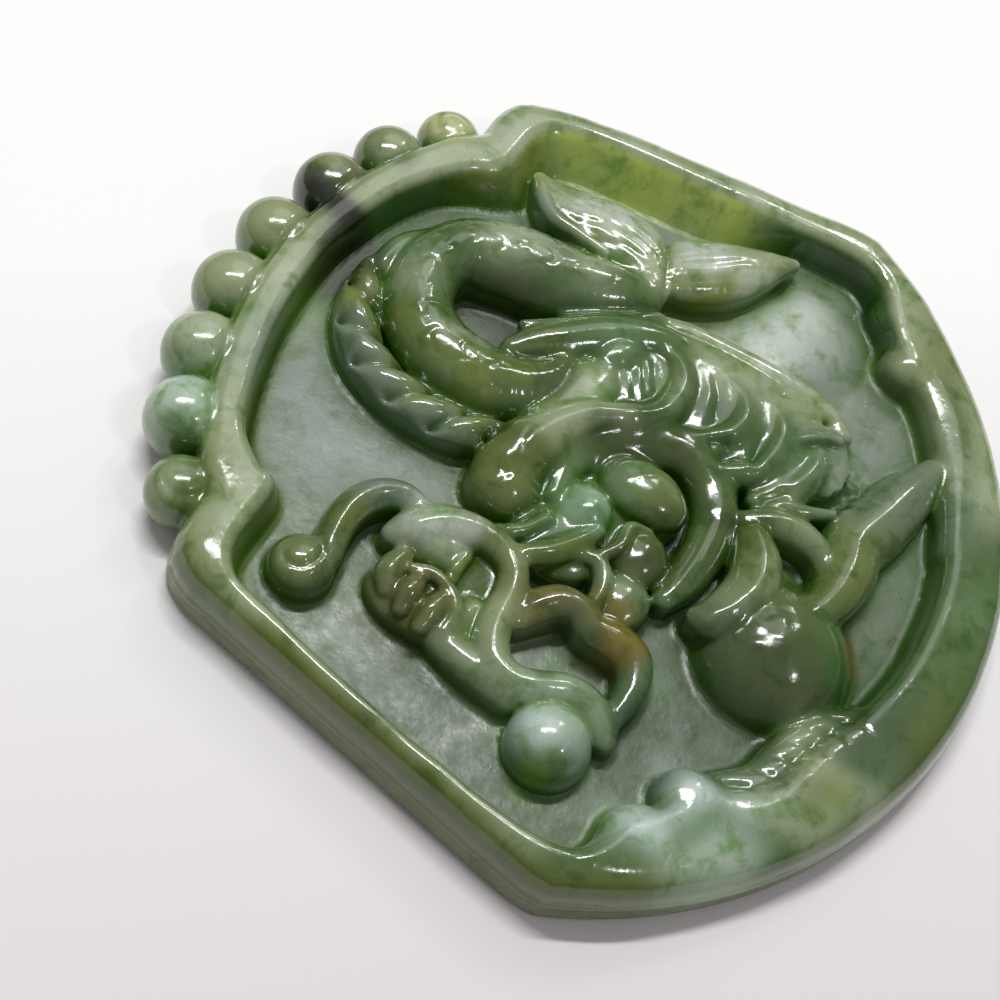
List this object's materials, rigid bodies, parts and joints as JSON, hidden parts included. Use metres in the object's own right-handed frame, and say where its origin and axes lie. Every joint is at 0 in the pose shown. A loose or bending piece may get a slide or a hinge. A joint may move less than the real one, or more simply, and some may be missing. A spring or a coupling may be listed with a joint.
{
  "type": "carved jade plaque",
  "caption": "Small carved jade plaque: a fish-dragon in relief with looped body, fins, whisker and pearl inside a raised rim, with a row of beads along its arched top.",
  "frame": {"origin": "centre of the plaque's box on its flat back, which rests on the surface", "axes": "+Z out of the carved face, +Y towards the beaded arched top, +X to the plaque's right as it is seen upright"},
  "size_m": [0.063, 0.0616, 0.0062],
  "materials": {
    "jade_green": "gloss",
    "jade_olive": "gloss",
    "jade_pale": "gloss",
    "jade_ground": "satin",
    "jade_mint": "gloss",
    "jade_amber": "gloss",
    "jade_dark": "gloss"
  },
  "bodies": {
    "root": {"base_slab": "jade_ground", "rim_arch": "jade_pale", "rim_left": "jade_pale", "rim_right": "jade_pale", "shoulder_left": "jade_pale", "shoulder_right": "jade_pale", "rim_bottom_left": "jade_green", "rim_bottom_middle": "jade_green", "rim_bottom_right": "jade_pale", "bead_1": "jade_olive", "bead_2": "jade_mint", "bead_3": "jade_pale", "bead_4": "jade_olive", "bead_5": "jade_olive", "bead_6": "jade_dark", "bead_7": "jade_green", "bead_8": "jade_pale", "dorsal_fin": "jade_olive", "body_coil": "jade_green", "body_neck": "jade_green", "tail_fin_upper": "jade_pale", "tail_fin_lower": "jade_pale", "horn_lobe": "jade_olive", "brow_ridge": "jade_pale", "cheek_arc": "jade_green", "mane_lock_1": "jade_green", "mane_lock_2": "jade_green", "mane_lock_3": "jade_green", "mane_lock_4": "jade_green", "mane_fringe": "jade_pale", "eye_lump_upper": "jade_mint", "eye_lump_front": "jade_olive", "cheek_lump": "jade_olive", "nose_lobe": "jade_olive", "upper_teeth": "jade_olive", "whisker": "jade_olive", "lip_strand": "jade_pale", "lower_jaw": "jade_amber", "muzzle_ridge": "jade_green", "pearl": "jade_mint", "chin_folds": "jade_green", "belly": "jade_olive", "belly_leaf": "jade_green", "lower_body": "jade_olive", "ground_mound": "jade_ground", "rock_left": "jade_mint", "rock_lobe": "jade_mint", "rock_wave": "jade_pale", "rock_right": "jade_pale", "wave_right": "jade_green"}
  },
  "joints": []
}
